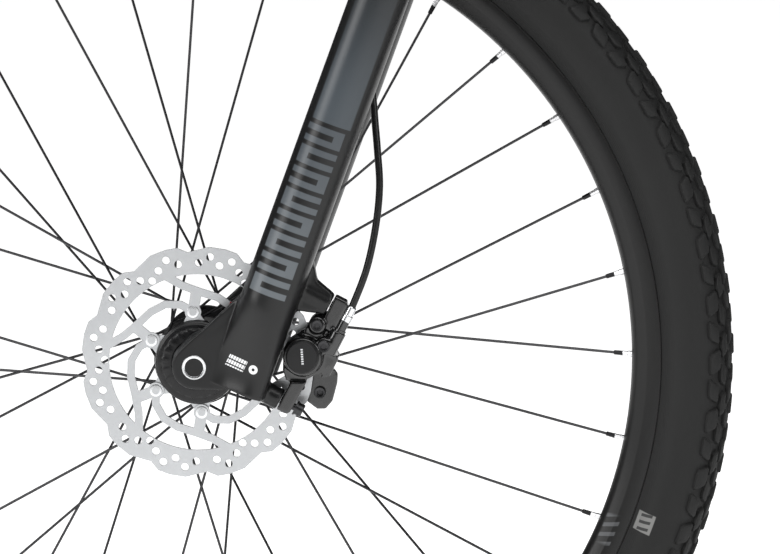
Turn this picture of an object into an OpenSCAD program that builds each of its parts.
// Hardtail mountain bike with 29 inch wheels, a 100 mm suspension fork and disc brakes.
// Millimetres. +X is forwards, +Y is the rider's left, +Z is up. The origin is on the ground,
// midway between the axles and on the centre plane.

/* [Wheels] */
// Outer radius of the inflated tyres, over the knobs
wheel_r = 366; // [356:1:372]
// Distance between the two axles
wheelbase = 1150; // [1110:1:1200]
// Overall width of the tyres
tyre_w = 57; // [50:0.5:60]
// Radius of the rim's outer flange
rim_flange_r = 316.5; // [312:0.5:318]
// Depth of the rim from its flange to the spoke bed
rim_depth = 20.5; // [16:0.5:26]
// Outside width of the rims
rim_w = 30; // [26:0.5:34]
// Spokes in each wheel
spoke_count = 32; // [28:4:36]
// Radius of the circle of spoke holes in the hub flanges
flange_hole_r = 26; // [22:0.5:30]

/* [Brakes] */
// Outer radius of the brake rotors
rotor_r = 80; // [78:0.5:82]
// Thickness of the rotors
rotor_t = 1.8; // [1.6:0.1:2.2]
// Radius of the circle of rivets that hold a rotor on its carrier
rivet_circle_r = 34.7; // [33:0.1:37]
// Distance between the two post mount bolts
post_spacing = 74.2; // [72:0.1:76]

/* [Fork] */
// Angle of the head tube above the horizontal
head_angle = 70; // [68:0.5:72]
// Travel of the suspension
travel = 100; // [80:5:120]
// Outer radius of each lower leg
leg_r = 19.4; // [18.8:0.1:21]
// Outer radius of each stanchion
stanchion_r = 16; // [15:0.1:16.5]
// Distance of the leg axes behind the front axle
leg_offset = 32.3; // [28:0.1:36]
// Distance of the steering axis behind the leg axes
crown_offset = 10; // [6:0.5:12]
// Distance of each leg axis from the centre plane
leg_y = 68; // [66:0.5:72]
// Width between the fork's two dropout faces
front_hub_w = 110; // [100:1:110]
// Radius of the front thru axle
front_axle_r = 7.5; // [7:0.1:8]

/* [Frame] */
// Length of the head tube
head_len = 112; // [100:1:130]
// Outer radius of the head tube
head_r = 24; // [23:0.5:26]
// Length of the seat tube from the bottom bracket centre
seat_tube_len = 470; // [430:5:500]
// Angle of the seat tube above the horizontal
seat_angle = 73.5; // [72:0.5:75]
// Horizontal distance from the rear axle to the bottom bracket centre
stay_len = 438; // [438:1:445]
// Drop of the bottom bracket below the axles
bb_drop = 60; // [50:1:66]
// Outer radius of the down tube
down_r = 23; // [21:0.5:23.5]
// Outer radius of the top tube
top_r = 16.5; // [15:0.5:17]
// Outer radius of the seat tube
seat_tube_r = 17.5; // [17.2:0.1:19]
// Outer radius of the seatpost
seatpost_r = 15.45; // [13.6:0.05:15.8]
// Length of seatpost that shows above the frame
post_show = 170; // [120:5:220]
// Width between the rear dropout faces
rear_hub_w = 148; // [146:1:150]
// Radius of the rear thru axle
rear_axle_r = 6; // [5.5:0.1:6.5]

/* [Drive] */
// Teeth on the chainring
ring_teeth = 32; // [30:1:34]
// Length of the crank arms, axle to axle
crank_len = 175; // [165:2.5:175]
// Distance of the chain line from the centre plane
chain_line = 50.5; // [49:0.5:52]
// Distance between neighbouring sprockets
cog_pitch = 3.95; // [3.9:0.05:4.2]

/* [Cockpit] */
// Overall width of the handlebar over its grips
bar_w = 740; // [680:5:780]
// Length of the stem, steering axis to bar axis
stem_len = 70; // [50:5:90]
// Backsweep of the bar
bar_sweep = 8; // [5:0.5:10]
// Length of the grips
grip_len = 132; // [115:1:140]

/* [Hidden] */
$fn = 64;

touch = 0.25;          // gap between surfaces of two bodies that pass each other
running = 0.05;        // radial clearance of a turning or sliding fit
axle_z = wheel_r;
front_x = wheelbase / 2;
rear_x = -wheelbase / 2;
lean = 90 - head_angle;
leg_u = -leg_offset;
steer_u = -(leg_offset + crown_offset);

// ---- Fork and steering heights, measured along the steering axis from the front axle
crown_h = 32;
leg_top_w = wheel_r + 4;
crown_low_w = leg_top_w + travel + 4;
crown_top_w = crown_low_w + crown_h;
low_stack = 12;
top_stack = 8;
spacer_h = 10;
head_low_w = crown_top_w + low_stack;
head_top_w = head_low_w + head_len;
stem_low_w = head_top_w + top_stack + spacer_h;
stem_h = 40;
stem_mid_w = stem_low_w + stem_h / 2;
bar_u = steer_u + stem_len;
steerer_r = 14.3;
steerer_wall = 2.3;

// ---- Frame points
bb = [rear_x + max(stay_len, wheel_r + 72), 0, axle_z - bb_drop];
function along(p, angle, d) = [p.x - d * cos(angle), p.y, p.z + d * sin(angle)];
function fork_pt(u, y, w) = [front_x + u * cos(lean) - w * sin(lean), y, axle_z + u * sin(lean) + w * cos(lean)];
seat_top = along(bb, seat_angle, seat_tube_len);
top_front = fork_pt(steer_u, 0, head_top_w - 24);
top_rear = along(bb, seat_angle, seat_tube_len - 38);
down_front = fork_pt(steer_u, 0, head_low_w + 36);
stay_top = along(bb, seat_angle, seat_tube_len - 66);
head_bore_r = 17;
bb_r = 21.5;
tube_wall = 2.4;
bb_w = 73;
bb_bore_r = 17.2;
bb_cup_r = 20.5;
spindle_r = 12;

// ---- Helpers
function unit(v) = v / norm(v);
module rod(p, q, r1, r2 = undef) {
    v = q - p;
    translate(p) rotate([0, acos(v.z / norm(v)), atan2(v.y, v.x)])
        cylinder(h = norm(v), r1 = r1, r2 = is_undef(r2) ? r1 : r2);
}
// A bend's ball stands a little proud of the rods that meet in it
bend = 1;
module ball(p, r) translate(p) sphere(r + bend);
// A cylinder along Y from y0 to y1, at [x, z]
module across(x, z, y0, y1, r, r2 = undef)
    translate([x, y0, z]) rotate([-90, 0, 0]) cylinder(h = y1 - y0, r1 = r, r2 = is_undef(r2) ? r : r2);
// A flat outline drawn in [x, z], from y0 to y1
module plate_y(y0, y1) translate([0, y1, 0]) rotate([90, 0, 0]) linear_extrude(y1 - y0) children();
module in_fork() translate([front_x, 0, axle_z]) rotate([0, -lean, 0]) children();
module mirrored() {
    children();
    mirror([0, 1, 0]) children();
}
// A ring of stock between two radii, along Y
module ring_y(y0, y1, r_out, r_in) difference() {
    across(0, 0, y0, y1, r_out);
    across(0, 0, y0 - 1, y1 + 1, r_in);
}

// ---- A round hose swept along a smooth curve through chosen points
function spline_pt(a, b, c, d, t) = 0.5 * ((2 * b) + (c - a) * t + (2 * a - 5 * b + 4 * c - d) * t * t
    + (3 * b - a - 3 * c + d) * t * t * t);
function spline(p, n) = let (m = len(p) - 1) concat([for (i = [0 : m - 1], k = [0 : n - 1])
    spline_pt(p[max(i - 1, 0)], p[i], p[i + 1], p[min(i + 2, m)], k / n)], [p[m]]);
module hose(points, r, per_span = 6, sides = 8) {
    path = spline(points, per_span);
    n = len(path);
    rings = [for (i = [0 : n - 1])
        let (
            d = unit(path[min(i + 1, n - 1)] - path[max(i - 1, 0)]),
            a = unit(cross(d, [0.31, 0.94, 0.12])),
            b = cross(d, a)
        )
        each [for (k = [0 : sides - 1]) path[i] + r * (a * cos(360 * k / sides) + b * sin(360 * k / sides))]];
    walls = [for (i = [0 : n - 2], k = [0 : sides - 1])
        each [[i * sides + k, i * sides + (k + 1) % sides, (i + 1) * sides + (k + 1) % sides],
            [i * sides + k, (i + 1) * sides + (k + 1) % sides, (i + 1) * sides + k]]];
    caps = [[for (k = [sides - 1 : -1 : 0]) k], [for (k = [0 : sides - 1]) (n - 1) * sides + k]];
    polyhedron(rings, concat(walls, caps));
}

// ==== Wheels
rim_in_r = rim_flange_r - rim_depth;
bead_r = rim_flange_r - 7;
tyre_mid_r = (wheel_r + bead_r) / 2;
module rim_profile() polygon([
    [rim_in_r, -4], [rim_in_r + 4, -rim_w / 2 + 4], [rim_flange_r - 5, -rim_w / 2], [rim_flange_r, -rim_w / 2],
    [rim_flange_r, -rim_w / 2 + 2.5], [bead_r, -rim_w / 2 + 2.5], [bead_r - 3, -5], [bead_r - 3, 5],
    [bead_r, rim_w / 2 - 2.5], [rim_flange_r, rim_w / 2 - 2.5], [rim_flange_r, rim_w / 2],
    [rim_flange_r - 5, rim_w / 2], [rim_in_r + 4, rim_w / 2 - 4], [rim_in_r, 4]
]);
valve_r = 2.6;
valve_len = 34;
module rim(valve_angle) color("#1b1b1a") {
    rotate([90, 0, 0]) rotate_extrude($fn = 128) rim_profile();
    rotate([0, -valve_angle, 0]) translate([rim_in_r - valve_len, 0, 0]) rotate([0, 90, 0])
        cylinder(h = valve_len - touch, r = valve_r);
}
tyre_half = tyre_w / 2;
tread_half = tyre_half - 5;
module tyre_profile() polygon([
    [bead_r + 0.5, -rim_w / 2 + 3], [rim_flange_r + 0.4, -rim_w / 2 + 3],
    [rim_flange_r + 0.4, -rim_w / 2 + 0.5], [tyre_mid_r - 8, -tyre_half + 2.5],
    [tyre_mid_r + 2, -tyre_half], [wheel_r - 16, -tyre_half + 0.5], [wheel_r - 8, -tread_half],
    [wheel_r - 1.5, -tread_half / 2], [wheel_r, 0], [wheel_r - 1.5, tread_half / 2], [wheel_r - 8, tread_half],
    [wheel_r - 16, tyre_half - 0.5], [tyre_mid_r + 2, tyre_half], [tyre_mid_r - 8, tyre_half - 2.5],
    [rim_flange_r + 0.4, rim_w / 2 - 0.5], [rim_flange_r + 0.4, rim_w / 2 - 3],
    [bead_r + 0.5, rim_w / 2 - 3], [bead_r + 3, rim_w / 2 - 5],
    [tyre_mid_r - 6, tyre_half - 6], [tyre_mid_r + 8, tyre_half - 5], [wheel_r - 14, 8],
    [wheel_r - 14, -8], [tyre_mid_r + 8, -tyre_half + 5], [tyre_mid_r - 6, -tyre_half + 6],
    [bead_r + 3, -rim_w / 2 + 5]
]);
module tyre() color("#2b2c2c") rotate([90, 0, 0]) rotate_extrude($fn = 128) tyre_profile();

// Spokes leave the flanges tangentially, three crosses, and alternate sides at the rim.
spoke_r = 1;
nipple_r = 2.1;
nipple_len = 12;
elbow = 2.4;
cross_angle = 3 * 720 / spoke_count;
spoke_phase = 179.6;
module spokes(left_y, right_y) color("#232323") for (i = [0 : spoke_count - 1]) {
    rim_a = spoke_phase + i * 360 / spoke_count;
    left = i % 2 == 1;
    trail = floor(i / 2) % 2 == 0 ? 1 : -1;
    hub_a = rim_a - trail * cross_angle;
    flange_y = left ? left_y : right_y;
    out_y = flange_y + trail * elbow;
    seat = [rim_in_r * cos(rim_a), (left ? 2.5 : -2.5), rim_in_r * sin(rim_a)];
    head = [flange_hole_r * cos(hub_a), out_y, flange_hole_r * sin(hub_a)];
    aim = unit(head - seat);
    rod(head, seat + aim * (nipple_len - 3), spoke_r);
    rod(seat + aim * nipple_len, seat - aim, nipple_r);
    across(head.x, head.z, flange_y - elbow, flange_y + elbow, spoke_r + 0.2, $fn = 24);
}
module hub_shell(left_y, right_y, left_end, right_end, bore_r, cap_r, flange_r) color("#161616") difference() {
    union() {
        across(0, 0, right_y, left_y, 17);
        across(0, 0, left_y - 1.6, left_y + 1.6, flange_r);
        across(0, 0, right_y - 1.6, right_y + 1.6, flange_r);
        across(0, 0, right_end, left_end, cap_r);
    }
    across(0, 0, right_end - 1, left_end + 1, bore_r + running);
}
flange_rim = 4.6;
front_flange_y = 27;
front_end_y = front_hub_w / 2 - touch;
front_rotor_y = front_hub_w / 2 - 15;
rear_left_flange_y = 36;
rear_right_flange_y = -21;
rear_rotor_y = rear_hub_w / 2 - 16;
boss_r = 15;
module front_hub() translate([front_x, 0, axle_z]) union() {
    hub_shell(front_flange_y, -front_flange_y, front_end_y, -front_end_y, front_axle_r, 10.5,
        flange_hole_r + flange_rim);
    color("#161616") ring_y(front_flange_y, front_rotor_y + 3, boss_r, front_axle_r + running + 0.5);
}
module front_axle() color("#c9cacb") translate([front_x, 0, axle_z]) {
    difference() {
        across(0, 0, -front_hub_w / 2 - 16, front_hub_w / 2 + 9, front_axle_r);
        across(0, 0, -front_hub_w / 2 - 17, -front_hub_w / 2 - 8, 3.5, $fn = 6);
        across(0, 0, front_hub_w / 2 - 4, front_hub_w / 2 + 10, 5);
    }
    difference() {
        across(0, 0, -front_hub_w / 2 - 16, -front_hub_w / 2 - 12.2, 10.5);
        across(0, 0, -front_hub_w / 2 - 17, -front_hub_w / 2 - 11, front_axle_r);
    }
}

// ==== Brake rotors: a wavy band, six swept arms and a riveted carrier
rotor_arms = 6;
lobe = [[0, -0.4], [-6, 0], [-14, -0.3], [-25, -4.2]];
module arm_strip(points, w) {
    n = len(points) - 1;
    side = [for (i = [0 : n])
        let (d = unit(points[min(i + 1, n)] - points[max(i - 1, 0)])) [-d.y, d.x] * w / 2];
    polygon(concat([for (i = [0 : n]) points[i] + side[i]], [for (i = [n : -1 : 0]) points[i] - side[i]]));
}
function polar(r, a) = [r * cos(a), r * sin(a)];
band_in_r = rotor_r - 19.5;
module rotor_outline() {
    polygon([for (k = [11 : -1 : 0], p = lobe) polar(rotor_r + p[1], 20 + 30 * (k + 1) + p[0])]);
}
module rotor_flat() {
    difference() {
        rotor_outline();
        circle(band_in_r, $fn = 96);
        for (k = [0 : rotor_arms - 1], h = [[0, 16.5], [-6, 12], [-12, 7.1], [-18, 12], [-24, 7.1], [-30, 11.6],
                [-42, 11.6], [-48, 7.1], [-54, 12]])
            translate(polar(rotor_r - h[1], 61 + 60 * k + h[0])) circle(2.6, $fn = 20);
    }
    difference() {
        for (k = [0 : rotor_arms - 1]) rotate(25.3 + 60 * k) {
            arm_strip([polar(rivet_circle_r, 0), polar(41, -11), polar(45.2, -24), polar(46.8, -38),
                polar(48.6, -54), polar(53.5, -66), polar(band_in_r + 3, -76)], 5.4);
            arm_strip([polar(rivet_circle_r, 0), polar(48.6, 4)], 7.6);
            translate([rivet_circle_r, 0]) circle(5.6, $fn = 32);
        }
        for (k = [0 : rotor_arms - 1]) rotate(25.3 + 60 * k) translate([rivet_circle_r, 0]) circle(2.5, $fn = 32);
    }
}
module rotor_disc(y) plate_y(y - rotor_t / 2, y + rotor_t / 2) rotor_flat();
carrier_t = 2.6;
carrier_disc_r = 27.5;
module carrier_star() difference() {
    union() {
        circle(carrier_disc_r - 3, $fn = 64);
        for (k = [0 : rotor_arms - 1]) rotate(25.3 + 60 * k)
            polygon([polar(24, -26), [rivet_circle_r - 2, -4.6], [rivet_circle_r + 3.5, -3.2],
                [rivet_circle_r + 3.5, 3.2], [rivet_circle_r - 2, 4.6], polar(24, 26)]);
    }
    circle(boss_r, $fn = 64);
}
// The carrier lies behind the disc; its rivets pass through, and a lock ring holds it on the hub.
module carrier(y) color("#141414") {
    plate_y(y - rotor_t / 2 - carrier_t, y - rotor_t / 2) carrier_star();
    for (k = [0 : rotor_arms - 1]) rotate([0, -(25.3 + 60 * k), 0]) translate([rivet_circle_r, 0, 0])
        across(0, 0, y - rotor_t / 2, y + rotor_t / 2 + 1, 2.5, $fn = 32);
    ring_y(y - rotor_t / 2, y + 4, carrier_disc_r, boss_r);
    ring_y(y + 4, y + 6, carrier_disc_r - 3.5, boss_r);
}
module rotor(x, y) translate([x, 0, axle_z]) {
    color("#b9bbbd") rotor_disc(y);
    carrier(y);
}
module front_rotor() rotor(front_x, front_rotor_y);
module rear_rotor() rotor(rear_x, rear_rotor_y);
module front_spokes() translate([front_x, 0, axle_z]) spokes(front_flange_y, -front_flange_y);
module front_rim() translate([front_x, 0, axle_z]) rim(spoke_phase + 11.25 * 5.5);
module front_tyre() translate([front_x, 0, axle_z]) tyre();

rear_end_y = max(rear_hub_w / 2, chain_line + 23.5) - touch;
free_r = 16.5;
free_in_y = rear_right_flange_y - 4;
module rear_hub() translate([rear_x, 0, axle_z]) color("#161616") difference() {
    union() {
        across(0, 0, rear_right_flange_y, rear_left_flange_y, 19);
        across(0, 0, rear_left_flange_y - 1.6, rear_left_flange_y + 1.6, flange_hole_r + flange_rim);
        across(0, 0, rear_right_flange_y - 1.6, rear_right_flange_y + 1.6, flange_hole_r + flange_rim);
        across(0, 0, free_in_y + touch, rear_right_flange_y, 22);
        across(0, 0, rear_left_flange_y, rear_rotor_y + 3, boss_r);
        across(0, 0, rear_left_flange_y, rear_end_y, 11);
    }
    across(0, 0, free_in_y - 1, rear_end_y + 1, rear_axle_r + running);
}
module rear_axle() translate([rear_x, 0, axle_z]) color("#1d1d1d") {
    across(0, 0, -plate_out + 1, plate_out + 1, rear_axle_r);
    difference() {
        across(0, 0, plate_out + touch, plate_out + 5, 9.5);
        across(0, 0, plate_out + 2, plate_out + 6, 3.5, $fn = 6);
    }
}
module rear_spokes() translate([rear_x, 0, axle_z]) spokes(rear_left_flange_y, rear_right_flange_y);
module rear_rim() translate([rear_x, 0, axle_z]) rim(spoke_phase + 11.25 * 5.5);
module rear_tyre() translate([rear_x, 0, axle_z]) tyre();

// ==== Suspension fork
leg_low_w = -5.5;
foot_r = 8;
knob_r = 6.5;
knob_gap = 2.5;
leg_bore_r = stanchion_r + running;
leg_bore_low_w = 40;
stanchion_low_w = leg_bore_low_w + travel + 6;
drop_r = 15.2;
drop_t = 12;
drop_y = front_hub_w / 2;
drop_top_w = 58;
// Tangent point on a circle round the axle, seen from p
function tangent(p, r, side) = polar(r, atan2(p.y, p.x) + side * acos(r / norm(p)));
module dropout_outline() {
    top = [leg_u + leg_r, drop_top_w];
    low = [leg_u + 2, leg_low_w];
    circle(drop_r, $fn = 64);
    polygon([top, tangent(top, drop_r, -1), polar(drop_r, -40), tangent(low, drop_r, 1), low,
        [leg_u - leg_r, leg_low_w], [leg_u - leg_r, drop_top_w]]);
}
module leg_body() difference() {
    union() {
        translate([leg_u, leg_y, leg_low_w]) cylinder(h = leg_top_w - leg_low_w, r = leg_r);
        plate_y(drop_y, drop_y + drop_t) dropout_outline();
    }
    translate([leg_u, leg_y, leg_bore_low_w]) cylinder(h = leg_top_w, r = leg_bore_r);
}
// The wiper seal is a lip of the leg's own top, above its bore
module wiper() translate([leg_u, leg_y, leg_top_w]) difference() {
    cylinder(h = 3, r = leg_r + 0.6);
    translate([0, 0, -1]) cylinder(h = 5, r = leg_bore_r);
}
// Post mount: two posts behind the left leg, their faces square to the bolts
post_low = [-62.3, -2];
post_tilt = 7.4;
module at_posts() translate([post_low.x, 0, post_low.y]) rotate([0, -post_tilt, 0]) children();
post_y = front_rotor_y + 15.5;
post_r = 7.5;
module posts() {
    at_posts() for (w = [0, post_spacing])
        translate([0, post_y, w]) rotate([0, 90, 0]) cylinder(h = w > 0 ? 22 : 14, r = post_r);
    difference() {
        plate_y(post_y - 6, post_y + 6) polygon([[leg_u - 12, 58], [leg_u - 12, 104], [leg_u - leg_r - 0.6, 94],
            [-58, 84], [-71.6, 79], [-70.3, 64], [-61.5, 62]]);
        translate([leg_u, leg_y, 0]) cylinder(h = 120, r = leg_r - 0.5);
    }
}
module fork_leg_left() color("#232425") in_fork() difference() {
    union() {
        leg_body();
        posts();
        wiper();
    }
    across(0, 0, drop_y - 1, drop_y + drop_t + 1, front_axle_r);
    across(0, 0, drop_y + drop_t - 1.2, drop_y + drop_t + 1, 8.4);
    translate([leg_u, leg_y, leg_bore_low_w]) cylinder(h = leg_top_w, r = leg_bore_r);
    translate([leg_u, leg_y, leg_low_w - 1]) cylinder(h = 12, r = foot_r);
    at_posts() for (w = [0, post_spacing])
        translate([-1, post_y, w]) rotate([0, 90, 0]) cylinder(h = 13, r = 2.55);
}
module fork_leg_right() color("#232425") in_fork() mirror([0, 1, 0]) difference() {
    union() {
        leg_body();
        wiper();
    }
    across(0, 0, drop_y - 1, drop_y + drop_t + 1, front_axle_r);
    translate([leg_u, leg_y, leg_bore_low_w]) cylinder(h = leg_top_w, r = leg_bore_r);
    translate([leg_u, leg_y, leg_low_w - 1]) cylinder(h = 12, r = foot_r);
}
arch_t = 13;
arch_u = leg_u + 23.6;
module fork_arch() color("#232425") in_fork() difference() {
    union() {
        translate([arch_u, 0, 0]) rotate([90, 0, 90]) linear_extrude(arch_t) polygon([
            [-leg_y - 6, leg_top_w - 44], [-leg_y - 6, leg_top_w - 12], [-50, leg_top_w + 16],
            [-24, leg_top_w + 26], [24, leg_top_w + 26], [50, leg_top_w + 16], [leg_y + 6, leg_top_w - 12],
            [leg_y + 6, leg_top_w - 44], [leg_y - 14, leg_top_w - 44], [tyre_w / 2 + 16, leg_top_w - 14],
            [tyre_w / 2 - 2, leg_top_w + 6], [-tyre_w / 2 + 2, leg_top_w + 6],
            [-tyre_w / 2 - 16, leg_top_w - 14], [-leg_y + 14, leg_top_w - 44]
        ]);
        mirrored() translate([leg_u + 8, leg_y - 11, leg_top_w - 44]) cube([arch_u - leg_u - 8, 22, 36]);
    }
    mirrored() translate([leg_u, leg_y, 0]) cylinder(h = leg_top_w + 10, r = leg_r);
}
module rebound_knob() color("#b3161b") in_fork() translate([leg_u, -leg_y, leg_low_w - knob_gap]) {
    translate([0, 0, -8]) cylinder(h = 8, r = knob_r, $fn = 12);
    cylinder(h = 8, r = 3.4, $fn = 24);
}
module fork_stanchions() color("#17181a") in_fork() mirrored() translate([leg_u, leg_y, 0]) difference() {
    translate([0, 0, stanchion_low_w]) cylinder(h = crown_top_w + 2 - stanchion_low_w, r = stanchion_r);
    translate([0, 0, stanchion_low_w - 1]) cylinder(h = crown_top_w - stanchion_low_w - 4, r = stanchion_r - 2.5);
}
crown_clamp_r = 21;
module fork_crown() color("#1c1d1e") in_fork() difference() {
    union() {
        mirrored() translate([leg_u, leg_y, crown_low_w]) cylinder(h = crown_h, r = crown_clamp_r);
        translate([0, 0, crown_low_w]) linear_extrude(crown_h) polygon([
            [leg_u + 15, -leg_y], [leg_u + 15, leg_y], [leg_u - 16, leg_y], [steer_u - 22, 14],
            [steer_u - 22, -14], [leg_u - 16, -leg_y]
        ]);
        translate([steer_u, 0, crown_top_w]) cylinder(h = 1.5, r = 22);
    }
    mirrored() translate([leg_u, leg_y, crown_low_w - 1]) cylinder(h = crown_h + 2, r = stanchion_r);
    translate([steer_u, 0, crown_low_w - 1]) cylinder(h = crown_h + 4, r = steerer_r);
}
steerer_top_w = stem_low_w + stem_h - 3;
module fork_steerer() color("#2a2a2a") in_fork() translate([steer_u, 0, 0]) difference() {
    translate([0, 0, crown_low_w]) cylinder(h = steerer_top_w - crown_low_w, r = steerer_r);
    translate([0, 0, crown_low_w - 1]) cylinder(h = steerer_top_w, r = steerer_r - steerer_wall);
}
module lockout_dial() color("#202124") in_fork() translate([leg_u, -leg_y, crown_top_w + 2 + touch]) {
    cylinder(h = 8, r = 14);
    translate([-3, 0, 8]) cube([6, 17, 5]);
}

// ==== Front disc caliper, on the posts
pad_gap = 0.6;
pad_t = 1.8;
slot_half = rotor_t / 2 + pad_gap + pad_t;
inboard = 11.5;
outboard = 27;
ear_y = post_y - front_rotor_y;
bolt_r = 2.5;
// Local frame: x towards the hub, z along the posts, y across; the disc lies at y = 0
module caliper_body() {
    difference() {
        union() {
            across(-5, 31, -inboard, outboard + 4, 16);
            across(-12, 46, -inboard, outboard + 1, 11);
            translate([-21, -inboard, 11]) cube([21, inboard + outboard, 43]);
            translate([-6, ear_y - 6.5, -7]) cube([6, 13, 19]);
            translate([-6, ear_y - 6.5, 50]) cube([6, 13, post_spacing - 43]);
        }
        translate([-18.5, -slot_half, -10]) cube([40, 2 * slot_half, 100]);
        for (w = [0, post_spacing]) translate([-30, ear_y, w]) rotate([0, 90, 0])
            cylinder(h = 40, r = bolt_r);
    }
    for (w = [0, post_spacing]) translate([-10.5, ear_y, w]) rotate([0, 90, 0]) {
        cylinder(h = 4.5, r = 4.5);
        translate([0, 0, 4.5]) cylinder(h = 16, r = bolt_r);
    }
    for (side = [-slot_half, rotor_t / 2 + pad_gap]) translate([-10, side, 20]) cube([17, pad_t, 22]);
    across(-5, 31, outboard + 4, outboard + 6, 10.4);
    translate([-13.5, outboard - 7, 50]) cylinder(h = 24, r = 4);
}
module front_caliper() color("#141414") in_fork() at_posts() translate([-touch, front_rotor_y, 0])
    caliper_body();
rear_brake_turn = 134;
module at_rear_posts() translate([rear_x, 0, axle_z]) rotate([0, rear_brake_turn, 0]) at_posts() children();
module rear_post_rods(r, depth) at_rear_posts() for (w = [0, post_spacing])
    translate([0, rear_rotor_y + ear_y, w]) rotate([0, 90, 0]) translate([0, 0, depth < 20 ? -1 : 0])
        cylinder(h = depth, r = r);
module rear_caliper() color("#141414") at_rear_posts() translate([-touch, rear_rotor_y, 0]) caliper_body();

// ==== Frame
module head_solid(r) rod(fork_pt(steer_u, 0, head_low_w), fork_pt(steer_u, 0, head_top_w), r);
module seat_solid(r) rod(bb, seat_top, r);
module bb_solid(r) across(bb.x, bb.z, -bb_w / 2, bb_w / 2, r);
module head_tube() color("#3c4247") difference() {
    head_solid(head_r);
    rod(fork_pt(steer_u, 0, head_low_w - 1), fork_pt(steer_u, 0, head_top_w + 1), head_bore_r);
}
module top_tube() color("#3c4247") difference() {
    rod(top_rear, top_front, top_r);
    rod(top_rear, top_front, top_r - tube_wall);
    head_solid(head_r);
    seat_solid(seat_tube_r);
}
boss_depth = 12;
down_dir = unit(down_front - bb);
down_up = cross(down_dir, [0, 1, 0]);
down_end_r = down_r - 3;
down_len = norm(down_front - bb);
// Bottle bosses stand on the upper side of the down tube
boss_at = [230, 294];
function down_top(d) = bb + down_dir * d + down_up * (down_end_r + (down_r - down_end_r) * d / down_len);
module down_tube() color("#3c4247") difference() {
    union() {
        difference() {
            rod(bb, down_front, down_end_r, down_r);
            rod(bb, down_front, down_end_r - tube_wall, down_r - tube_wall);
        }
        for (d = boss_at) rod(down_top(d) + down_up * 1.5, down_top(d) - down_up * boss_depth, 5.5);
    }
    head_solid(head_r);
    seat_solid(seat_tube_r);
    bb_solid(bb_r);
    rod(fork_pt(steer_u, 0, crown_top_w), down_front, head_r);
    for (d = boss_at) rod(down_top(d) + down_up * 3, down_top(d) - down_up * (boss_depth + 1), bolt_r);
}
seat_bore_r = seatpost_r + running;
module seat_tube() color("#3c4247") difference() {
    seat_solid(seat_tube_r);
    rod(along(bb, seat_angle, bb_r + 8), along(bb, seat_angle, seat_tube_len + 1), seat_bore_r);
    bb_solid(bb_r);
}
module bb_shell() color("#3c4247") difference() {
    bb_solid(bb_r);
    across(bb.x, bb.z, -bb_w / 2 - 1, bb_w / 2 + 1, bb_bore_r);
}
plate_in = rear_hub_w / 2;
plate_out = plate_in + 10;
stay_end = [rear_x + 50, plate_in + 5, axle_z - 14];
stay_mid = [rear_x + 275, 47, axle_z - 44];
stay_waist = [bb.x - 68, 38, axle_z - 57];
stay_root = [bb.x - 8, 27, bb.z];
hanger = [-8, -28];
module plate_outline(low) {
    circle(17);
    polygon([[-16, -6], [-8, -15], [20, -21], [51, -25], [51, -3], [33, 14], [22, 48], [-14, 50], [-16.5, 14]]);
    if (low) {
        polygon([[-16, -4], [hanger.x - 9, hanger.y], [hanger.x + 9, hanger.y], [10, -12]]);
        translate(hanger) circle(9);
    }
}
module dropout_plates() {
    translate([rear_x, 0, axle_z]) difference() {
        union() {
            plate_y(plate_in, plate_out) plate_outline(false);
            plate_y(-plate_out, -plate_in) plate_outline(true);
        }
        across(0, 0, -plate_out - 1, plate_out + 1, rear_axle_r);
        across(hanger.x, hanger.y, -plate_out - 1, 0, 5);
    }
    rear_post_rods(post_r, 24);
}
module dropouts() color("#2c3033") difference() {
    dropout_plates();
    rear_post_rods(bolt_r, 13);
}
stay_r = 8.5;
module stay_solid() {
    rod(stay_root, stay_waist, stay_r);
    ball(stay_waist, stay_r);
    rod(stay_waist, stay_mid, stay_r);
    ball(stay_mid, stay_r);
    rod(stay_mid, stay_end, stay_r);
}
module chainstays() color("#3c4247") difference() {
    mirrored() stay_solid();
    bb_solid(bb_r);
    mirrored() across(bb.x, bb.z, bb_w / 2 - touch, bb_w / 2 + 12, bb_cup_r + touch);
    seat_solid(seat_tube_r);
    dropout_plates();
}
upper_end = [rear_x + 4, plate_in + 5, axle_z + 43];
upper_dir = unit([stay_top.x - rear_x, 0, stay_top.z - axle_z]);
upper_knee = [rear_x, 46, axle_z] + upper_dir * (wheel_r + 21);
upper_root = [stay_top.x, 15, stay_top.z];
module seatstays() color("#3c4247") difference() {
    union() {
        mirrored() {
            rod(upper_end, upper_knee, 8);
            ball(upper_knee, 8);
            rod(upper_knee, upper_root, 8);
        }
        across(upper_knee.x, upper_knee.z, -46, 46, 6.5);
    }
    seat_solid(seat_tube_r);
    dropout_plates();
}
// Cups stand outside the head tube and hold the bearings; their skirts are pressed inside.
skirt_h = 9;
module cup(w0, w1, skirt0, skirt1) difference() {
    union() {
        translate([0, 0, w0]) cylinder(h = w1 - w0, r = 22.6);
        translate([0, 0, skirt0]) cylinder(h = skirt1 - skirt0, r = head_bore_r);
    }
    translate([0, 0, w0 - 20]) cylinder(h = 60, r = steerer_r + running);
}
module headset() color("#101011") in_fork() translate([steer_u, 0, 0]) {
    cup(crown_top_w + 2, head_low_w, head_low_w - 2, head_low_w + skirt_h);
    cup(head_top_w, head_top_w + top_stack - touch, head_top_w - skirt_h, head_top_w + 2);
}
clamp_h = 16;
module seat_clamp() color("#151515") translate(seat_top) rotate([0, seat_angle - 90, 0]) difference() {
    union() {
        translate([0, 0, -clamp_h]) cylinder(h = clamp_h, r = seat_tube_r + 3.5);
        translate([-seat_tube_r - 10, -9, -clamp_h + 2]) cube([12, 18, 12]);
    }
    translate([0, 0, -clamp_h - 1]) cylinder(h = clamp_h + 2, r = seat_tube_r);
}

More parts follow.
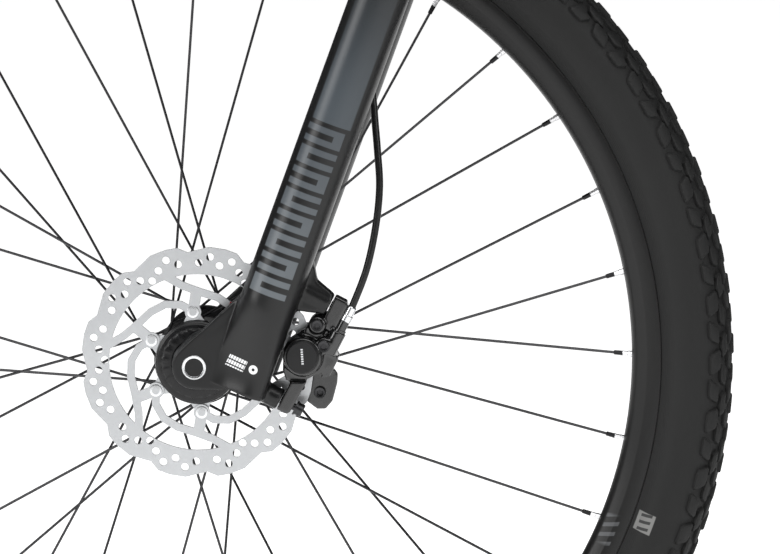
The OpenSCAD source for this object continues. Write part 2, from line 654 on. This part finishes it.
// ==== Seatpost and saddle
post_top = along(seat_top, seat_angle, post_show);
post_low_in = along(seat_top, seat_angle, -210);
rail_y = 22;
rail_r = 3.5;
rail_z = post_top.z + 8;
module rails() mirrored() {
    low_f = [post_top.x + 42, rail_y, rail_z];
    low_r = [post_top.x - 42, rail_y, rail_z];
    nose = [post_top.x + 108, 9, rail_z + 22];
    tail = [post_top.x - 100, 38, rail_z + 24];
    rod(low_r - [1.5, 0, 0], low_f + [1.5, 0, 0], rail_r);
    rod(low_f, nose, rail_r);
    rod(low_r, tail, rail_r);
}
module seatpost() color("#1a1b1c") difference() {
    union() {
        rod(post_low_in, post_top, seatpost_r);
        translate([post_top.x - 19, -rail_y - 7, post_top.z - 6]) cube([38, 2 * rail_y + 14, 21]);
    }
    rod(along(post_low_in, seat_angle, -1), along(post_top, seat_angle, -14), seatpost_r - 2.3);
    rails();
}
module saddle_rails() color("#8d8f92") rails();
saddle_z = rail_z + 16;
module saddle() color("#18191a") difference() {
    intersection() {
        translate([post_top.x, 0, saddle_z - 2]) linear_extrude(60) polygon([
            [-142, 0], [-138, 48], [-118, 68], [-88, 71], [-48, 58], [-8, 36], [40, 24], [110, 19], [128, 13],
            [132, 0], [128, -13], [110, -19], [40, -24], [-8, -36], [-48, -58], [-88, -71], [-118, -68],
            [-138, -48]
        ]);
        translate([post_top.x, 0, saddle_z]) plate_y(-80, 80) polygon([
            [-145, 16], [-130, 2], [-80, 0], [0, 6], [100, 2], [134, 4], [134, 16], [120, 26], [60, 31],
            [0, 31], [-60, 33], [-110, 39], [-140, 37]
        ]);
    }
    rails();
}

// ==== Cranks, chainring and pedals
link_pitch = 12.7;
function pitch_r(n) = link_pitch / (2 * sin(180 / n));
tip_h = 2.7;
root_h = 3.9;
module sprocket(n, bore) difference() {
    polygon([for (k = [0 : n - 1]) let (step = 360 / n, r = pitch_r(n))
        each [polar(r - root_h, step * (k - 0.17)), polar(r - root_h, step * (k + 0.17)),
            polar(r + tip_h, step * (k + 0.4)), polar(r + tip_h, step * (k + 0.6))]]);
    circle(bore);
}
ring_y = -chain_line;
ring_r = pitch_r(ring_teeth);
arm_y = 64;
eye_y = 77;
eye_half = 7;
eye_r = 13;
pedal_bolt_r = 7;
eye_out = eye_y + eye_half;
module crank_arm(sign) {
    difference() {
        union() {
            rod([0, arm_y, 0], [sign * (crank_len - eye_r + 4), eye_y - 1.5, 0], 8.2);
            across(0, 0, arm_y - 9, arm_y + 9, 19);
            across(sign * crank_len, 0, eye_y - eye_half, eye_out, eye_r);
        }
        across(sign * crank_len, 0, eye_y - eye_half - 1, eye_out + 1, pedal_bolt_r);
    }
}
ring_in = 13;
module crank_arm_right() color("#17181a") translate(bb) {
    mirror([0, 1, 0]) crank_arm(1);
    difference() {
        across(0, 0, -arm_y, arm_y + 6, spindle_r);
        across(0, 0, 0, arm_y + 7, spindle_r - 3.5);
    }
}
module crank_arm_left() color("#17181a") translate(bb) difference() {
    crank_arm(-1);
    across(0, 0, 0, arm_y + 20, spindle_r);
}
module chainring() color("#2a2b2d") translate(bb) {
    plate_y(ring_y - 0.9, ring_y + 0.9) sprocket(ring_teeth, ring_r - 12);
    plate_y(ring_y - 1.8, ring_y + 1.8) difference() {
        union() {
            difference() {
                circle(ring_r - 5.5);
                circle(ring_r - 12);
            }
            for (k = [0 : 3]) rotate(45 + 90 * k)
                polygon([[spindle_r, -12], [ring_r - 9, -7], [ring_r - 9, 7], [spindle_r, 12]]);
            circle(19);
        }
        circle(spindle_r);
    }
    ring_y_solid(ring_y - 4.5, ring_y - 1.8);
}
module ring_y_solid(y0, y1) difference() {
    across(0, 0, y0, y1, 18);
    across(0, 0, y0 - 1, y1 + 1, spindle_r);
}
module bb_cups() color("#1b1c1e") translate([bb.x, 0, bb.z]) mirrored() difference() {
    union() {
        across(0, 0, bb_w / 2, bb_w / 2 + 9.5, bb_cup_r);
        across(0, 0, bb_w / 2 - 9, bb_w / 2, bb_bore_r);
    }
    across(0, 0, 0, 80, spindle_r + running);
}
pedal_len = 98;
pedal_in = eye_out + 6;
pedal_axle_r = 6;
module axle_of(sign) {
    across(sign * crank_len, 0, eye_y - eye_half, eye_out, pedal_bolt_r);
    across(sign * crank_len, 0, eye_out, pedal_in - 1, 8.5, $fn = 6);
    across(sign * crank_len, 0, pedal_in - 1, pedal_in + pedal_len - 8, pedal_axle_r);
}
module pedal_axles() color("#a9abad") translate(bb) {
    mirror([0, 1, 0]) axle_of(1);
    axle_of(-1);
}
module pedal() difference() {
    union() {
        for (x = [-46, 34]) translate([x, pedal_in, -7]) cube([12, pedal_len, 14]);
        for (y = [0, 42, pedal_len - 12]) translate([-46, pedal_in + y, -6]) cube([92, 12, 12]);
        across(0, 0, pedal_in, pedal_in + pedal_len, 10);
        for (x = [-40, 40], y = [8, 35, 63, 90]) translate([x, pedal_in + y, -9.5]) cylinder(h = 19, r = 2);
    }
    across(0, 0, pedal_in - 1, pedal_in + pedal_len - 8, pedal_axle_r + running);
}
module pedal_left() color("#1c1d1f") translate(bb + [-crank_len, 0, 0]) pedal();
module pedal_right() color("#1c1d1f") translate(bb + [crank_len, 0, 0]) mirror([0, 1, 0]) pedal();

// ==== Cassette and freehub body
cog_teeth = [11, 13, 15, 17, 19, 21, 24, 28, 32, 37, 42];
gear = 4;
function cog_y(k) = -chain_line + (k - gear) * cog_pitch;
module cassette() translate([rear_x, 0, axle_z]) {
    color("#77797c") for (k = [0 : len(cog_teeth) - 1])
        plate_y(cog_y(k) - 0.8, cog_y(k) + 0.8) difference() {
            sprocket(cog_teeth[k], free_r);
            if (cog_teeth[k] > 22) for (a = [0 : 5]) rotate(60 * a + 7 * k)
                translate([(free_r + pitch_r(cog_teeth[k])) / 2, 0])
                    circle((pitch_r(cog_teeth[k]) - free_r) * 0.27, $fn = 24);
        }
    color("#4b4d4f") difference() {
        union() {
            across(0, 0, -68.5, free_in_y, free_r);
            across(0, 0, -rear_end_y, -68.5, 11);
        }
        across(0, 0, -80, 0, rear_axle_r + running);
    }
}

// ==== Rear derailleur: a body on the hanger, a link, a knuckle, and a sprung cage with two pulleys
pulley_teeth = 11;
pulley_pitch_r = pitch_r(pulley_teeth);
guide = [rear_x - 8, axle_z - 125];
cage_reach = [30, -75];
tension = guide + cage_reach;
link_x = rear_x - 13;
link_half = 16;
link_y = -94;
link_top_z = axle_z - 54;
link_len = 50;
link_low_z = link_top_z - link_len;
lug_t = 3.6;
pin_r = 2.5;
barrel_r = 5.5;
module along_x(x0, x1, y, z, r) translate([x0, y, z]) rotate([0, 90, 0]) cylinder(h = x1 - x0, r = r);
module lugs(z0, z1) for (x = [link_x - link_half - touch - lug_t, link_x + link_half + touch])
    translate([x, link_y - 7, z0]) cube([lug_t, 14, z1 - z0]);
lug_out = link_half + touch + lug_t;
module derailleur_body() color("#202225") {
    translate([rear_x, 0, axle_z]) {
        across(hanger.x, hanger.y, -plate_out, -plate_in, 5);
        across(hanger.x, hanger.y, -plate_out - 20, -plate_out, 11);
    }
    translate([link_x - lug_out, link_y - 9, link_top_z + 6]) cube([2 * lug_out, 18, 13]);
    lugs(link_top_z - 6, link_top_z + 7);
    along_x(link_x - lug_out, link_x + lug_out, link_y, link_top_z, pin_r);
}
module derailleur_link() color("#303338") difference() {
    union() {
        translate([link_x - link_half, link_y - 3, link_low_z]) cube([2 * link_half, 6, link_len]);
        for (z = [link_low_z, link_top_z]) along_x(link_x - link_half, link_x + link_half, link_y, z, barrel_r);
    }
    for (z = [link_low_z, link_top_z])
        along_x(link_x - link_half - 1, link_x + link_half + 1, link_y, z, pin_r + running);
}
cage_half = 4.6;
cage_t = 1.6;
cage_out = ring_y - cage_half - cage_t;
cage_pin_r = 5;
module derailleur_knuckle() color("#202225") {
    difference() {
        union() {
            across(guide.x, guide.y, link_y + 6, cage_out - touch, 13);
            translate([link_x - lug_out, link_y - 7, link_low_z - 18]) cube([2 * lug_out, 16, 12]);
        }
        across(guide.x, guide.y, link_y - 8, 0, cage_pin_r + running);
    }
    lugs(link_low_z - 8, link_low_z + 6);
    along_x(link_x - lug_out, link_x + lug_out, link_y, link_low_z, pin_r);
}
axle_pin_r = 2.5;
module cage_outline() difference() {
    side = [-unit(cage_reach).y, unit(cage_reach).x];
    union() {
        circle(13.5, $fn = 48);
        translate(cage_reach) circle(12, $fn = 48);
        polygon([side * 9, cage_reach + side * 8, cage_reach - side * 8, -side * 9]);
    }
    polygon([cage_reach * 0.3 + side * 4, cage_reach * 0.7 + side * 4, cage_reach * 0.7 - side * 4,
        cage_reach * 0.3 - side * 4]);
}
module derailleur_cage() color("#17181a") translate([guide.x, 0, guide.y]) {
    for (y = [ring_y - cage_half - cage_t, ring_y + cage_half]) plate_y(y, y + cage_t) cage_outline();
    for (p = [[0, 0], cage_reach]) across(p.x, p.y, ring_y - cage_half, ring_y + cage_half, axle_pin_r);
    across(0, 0, link_y + 4, cage_out, cage_pin_r);
}
module pulley(x, z) translate([x, 0, z]) difference() {
    union() {
        plate_y(ring_y - 0.8, ring_y + 0.8) sprocket(pulley_teeth, axle_pin_r);
        across(0, 0, ring_y - 3.6, ring_y + 3.6, 9);
    }
    across(0, 0, ring_y - 9, ring_y + 9, axle_pin_r + running);
}
module guide_pulley() color("#141415") pulley(guide.x, guide.y);
module tension_pulley() color("#141415") pulley(tension.x, tension.y);

// ==== Chain: side plates that follow the loop, with pins on its straight runs
function heading(c0, r0, c1, r1) = atan2(c1.y - c0.y, c1.x - c0.x) - asin((r1 - r0) / norm(c1 - c0));
stops = [[bb.x, bb.z], [rear_x, axle_z], guide, tension];
turns = [ring_r, pitch_r(cog_teeth[gear]), -pulley_pitch_r, pulley_pitch_r];
way = [for (i = [0 : 3]) heading(stops[i], turns[i], stops[(i + 1) % 4], turns[(i + 1) % 4])];
function wrap(a) = a - 360 * floor(a / 360);
// From circle i the chain turns through arc(i), anticlockwise when its radius is positive
function arc(i) = turns[i] > 0 ? wrap(way[i] - way[(i + 3) % 4]) : -wrap(way[(i + 3) % 4] - way[i]);
function normal(a) = [sin(a), -cos(a)];
function loop(h) = [for (i = [0 : 3], k = [0 : 16])
    let (a = way[(i + 3) % 4] + arc(i) * k / 16) stops[i] + normal(a) * (turns[i] + h)];
plate_half = 4.1;
chain_in = 1.15;
chain_out = 2.7;
module chain() color("#6e7073") {
    for (y = [-chain_out, chain_in]) plate_y(ring_y + y, ring_y + y + chain_out - chain_in) difference() {
        polygon(loop(plate_half));
        polygon(loop(-plate_half));
    }
    for (i = [0, 3]) {
        start = stops[i] + normal(way[i]) * turns[i];
        end = stops[(i + 1) % 4] + normal(way[i]) * turns[(i + 1) % 4];
        run = norm(end - start);
        for (k = [3 : floor(run / link_pitch) - 3]) {
            p = start + unit(end - start) * k * link_pitch;
            across(p.x, p.y, ring_y - chain_out, ring_y + chain_out, 3.8, $fn = 16);
        }
    }
}

// ==== Handlebar, stem and controls, drawn in the fork's own frame
bar_r = 11.1;
bar_clamp_r = 15.9;
bar_bend_y = 110;
bar_half = bar_w / 2;
function bar_pt(y) = [bar_u - max(0, abs(y) - bar_bend_y) * tan(bar_sweep), y, stem_mid_w];
module bar_side() {
    across(bar_u, stem_mid_w, 32, 90, bar_clamp_r, bar_r);
    across(bar_u, stem_mid_w, 90, bar_bend_y, bar_r);
    translate(bar_pt(bar_bend_y)) sphere(bar_r);
    rod(bar_pt(bar_bend_y), bar_pt(bar_half - 4), bar_r);
}
module handlebar() color("#1a1a1b") in_fork() difference() {
    union() {
        across(bar_u, stem_mid_w, -32, 32, bar_clamp_r);
        mirrored() bar_side();
    }
    mirrored() rod(bar_pt(bar_half - 110), bar_pt(bar_half), bar_r - 2.2);
}
grip_r = 16;
module grips() color("#1d1d1e") in_fork() mirrored() difference() {
    union() {
        rod(bar_pt(bar_half - grip_len), bar_pt(bar_half), grip_r);
        rod(bar_pt(bar_half - grip_len), bar_pt(bar_half - grip_len + 6), grip_r + 3);
    }
    rod(bar_pt(bar_bend_y), bar_pt(bar_half - 4), bar_r);
}
stem_out_r = 18;
module stem() color("#202123") in_fork() {
    difference() {
        union() {
            translate([steer_u, 0, stem_low_w]) cylinder(h = stem_h, r = stem_out_r);
            translate([steer_u, -15, stem_mid_w - 14]) cube([stem_len, 30, 28]);
            across(bar_u, stem_mid_w, -22, 22, bar_clamp_r + 5);
            translate([steer_u - stem_out_r - 6, -9, stem_low_w + 3]) cube([16, 18, stem_h - 6]);
        }
        translate([steer_u, 0, stem_low_w - 1]) cylinder(h = stem_h + 2, r = steerer_r);
        across(bar_u, stem_mid_w, -33, 33, bar_clamp_r);
    }
    translate([steer_u, 0, stem_low_w - spacer_h]) difference() {
        cylinder(h = spacer_h, r = stem_out_r - 0.5);
        translate([0, 0, -1]) cylinder(h = spacer_h + 2, r = steerer_r);
    }
    translate([steer_u, 0, stem_low_w + stem_h]) cylinder(h = 4, r = 16.5);
}
lever_pitch = 58;
lever_y = bar_half - grip_len - 16;
shift_pitch = 25;
shift_y = 140;
module at_bar(y, pitch) translate(bar_pt(y)) rotate([0, 0, bar_sweep]) rotate([0, pitch, 0]) children();
function turn_y(p, a) = [p.x * cos(a) + p.z * sin(a), p.y, p.z * cos(a) - p.x * sin(a)];
function turn_z(p, a) = [p.x * cos(a) - p.y * sin(a), p.x * sin(a) + p.y * cos(a), p.z];
// A point of a control's own frame, in world coordinates; side is +1 on the left, -1 on the right
function control_pt(y, pitch, p, side) = let (q = bar_pt(y) + turn_z(turn_y(p, pitch), bar_sweep))
    fork_pt(q.x, side * q.y, q.z);
blade_pivot = [42, -2];
blade_pin_r = 3;
blade_half = 4;
lug_in = blade_half + 0.3;
module master() at_bar(lever_y, lever_pitch) {
    difference() {
        union() {
            across(0, 0, -6, 6, 15.5);
            translate([6, -6, -5]) cube([18, 12, 14]);
            across(24, 3, -58, 8, 8.5);
            translate([15, -50, 6]) cube([19, 40, 12]);
            translate([20, -9, -7]) cube([13, 15, 14]);
            for (z = [-7, lug_in]) translate([24, -9, z]) cube([24, 15, 7 - lug_in]);
        }
        across(0, 0, -40, 40, bar_r);
    }
    translate([blade_pivot.x, blade_pivot.y, -7]) cylinder(h = 14, r = blade_pin_r);
}
module brake_masters() color("#161617") in_fork() mirrored() master();
module blade() at_bar(lever_y, lever_pitch) translate([0, 0, -blade_half]) linear_extrude(2 * blade_half)
    difference() {
        polygon([[36, 4], [36, -5], [40, -8], [46, -7], [52, 4], [57, 28], [59, 60], [64, 82], [61, 87],
            [56, 84], [51, 60], [49, 30], [44, 10]]);
        translate(blade_pivot) circle(blade_pin_r + running, $fn = 48);
    }
module brake_blade_left() color("#202123") in_fork() blade();
module brake_blade_right() color("#202123") in_fork() mirror([0, 1, 0]) blade();
pod = [8, -18];
pod_r = 18;
pod_low = -30;
trigger_t = 4.5;
trigger_pin_r = 4;
module shifter() color("#17181a") in_fork() mirror([0, 1, 0]) at_bar(shift_y, shift_pitch) {
    difference() {
        union() {
            across(0, 0, -6, 6, 15);
            translate([-4, -12, pod_low + 3]) cube([16, 18, 18]);
            translate([pod.x, pod.y, pod_low]) cylinder(h = 15, r = pod_r);
        }
        across(0, 0, -40, 40, bar_r);
    }
    translate([pod.x, pod.y, pod_low - trigger_t - 1]) cylinder(h = trigger_t + 3, r = trigger_pin_r);
}
module shift_trigger() color("#202123") in_fork() mirror([0, 1, 0]) at_bar(shift_y, shift_pitch)
    translate([pod.x, pod.y, pod_low - trigger_t - touch]) difference() {
        union() {
            cylinder(h = trigger_t, r = 8.5);
            linear_extrude(trigger_t) polygon([[-6, 5], [6, 5], [-8, 26], [-14, 40], [-27, 36], [-20, 22]]);
        }
        translate([0, 0, -1]) cylinder(h = trigger_t + 2, r = trigger_pin_r + running);
    }

// ==== Hoses
brake_hose_r = 2.5;
front_route = concat([for (p = [[-86.5, 60, 74], [-87, 60, 102], [-83, 58, 131], [-76, 56, 158], [-66, 53, 181],
    [-55, 47.5, 204], [-43, 44.8, 232], [-36, 44.6, 275], [-30, 44.6, 325], [-20, 45, 380], [6, 46, 440],
    [26, 52, 510], [34, 64, 575], [42, 92, 628]]) fork_pt(p.x, p.y, p.z)],
    [control_pt(lever_y, lever_pitch, [28, -80, 3], 1), control_pt(lever_y, lever_pitch, [24, -59, 3], 1)]);
module front_brake_hose() color("#121212") hose(front_route, brake_hose_r, 4);
function on_down(d, y) = [bb.x + down_dir.x * d, y, bb.z + down_dir.z * d];
rear_brake_route = [control_pt(lever_y, lever_pitch, [24, -59, 3], -1),
    control_pt(lever_y, lever_pitch, [30, -85, 3], -1), fork_pt(44, -70, 610), fork_pt(30, -10, 560),
    fork_pt(-10, 36, 560), on_down(640, 32), on_down(560, 27), on_down(400, 26), on_down(250, 25.5),
    on_down(120, 25), [bb.x + 20, 26, bb.z + 40], [bb.x - 35, 30, bb.z + 34], stay_waist + [0, 0, 12.8],
    stay_mid + [0, 0, 12.8], [-440, 68, 359], [-452, 77.5, 369], [-459, 78.5, 374.5]];
shift_hose_r = 2.2;
shift_route = [control_pt(shift_y, shift_pitch, [8, -37.6, -22], -1), control_pt(shift_y, shift_pitch, [24, -62, -26], -1),
    fork_pt(26, -50, 580), fork_pt(-20, -36, 545), on_down(640, -32), on_down(560, -27), on_down(400, -26),
    on_down(250, -25.5), on_down(120, -25), [bb.x + 20, -26, bb.z + 40], [bb.x - 35, -30, bb.z + 34],
    mirror_y(stay_waist) + [0, 0, 12.6], mirror_y(stay_mid) + [0, 0, 12.6], [-440, -74, 354],
    [-510, -94, 352], [-580, -112, 356], [-628, -108, 336], [-622, -98, 322], [link_x - lug_out - 1, link_y - 1, 325]];
function mirror_y(p) = [p.x, -p.y, p.z];
module rear_hoses() color("#121212") {
    hose(rear_brake_route, brake_hose_r, 4);
    hose(shift_route, shift_hose_r, 4);
}

head_tube();
top_tube();
down_tube();
seat_tube();
bb_shell();
chainstays();
seatstays();
dropouts();
headset();
seat_clamp();
seatpost();
saddle();
saddle_rails();
bb_cups();
crank_arm_right();
crank_arm_left();
chainring();
pedal_axles();
pedal_left();
pedal_right();
chain();
cassette();
rear_hub();
rear_axle();
rear_spokes();
rear_rim();
rear_tyre();
rear_rotor();
front_hub();
front_axle();
front_spokes();
front_rim();
front_tyre();
front_rotor();
fork_steerer();
fork_crown();
fork_stanchions();
fork_leg_left();
fork_leg_right();
fork_arch();
rebound_knob();
lockout_dial();
front_caliper();
rear_caliper();
handlebar();
stem();
grips();
brake_masters();
brake_blade_left();
brake_blade_right();
shifter();
shift_trigger();
front_brake_hose();
rear_hoses();
derailleur_body();
derailleur_link();
derailleur_knuckle();
derailleur_cage();
guide_pulley();
tension_pulley();
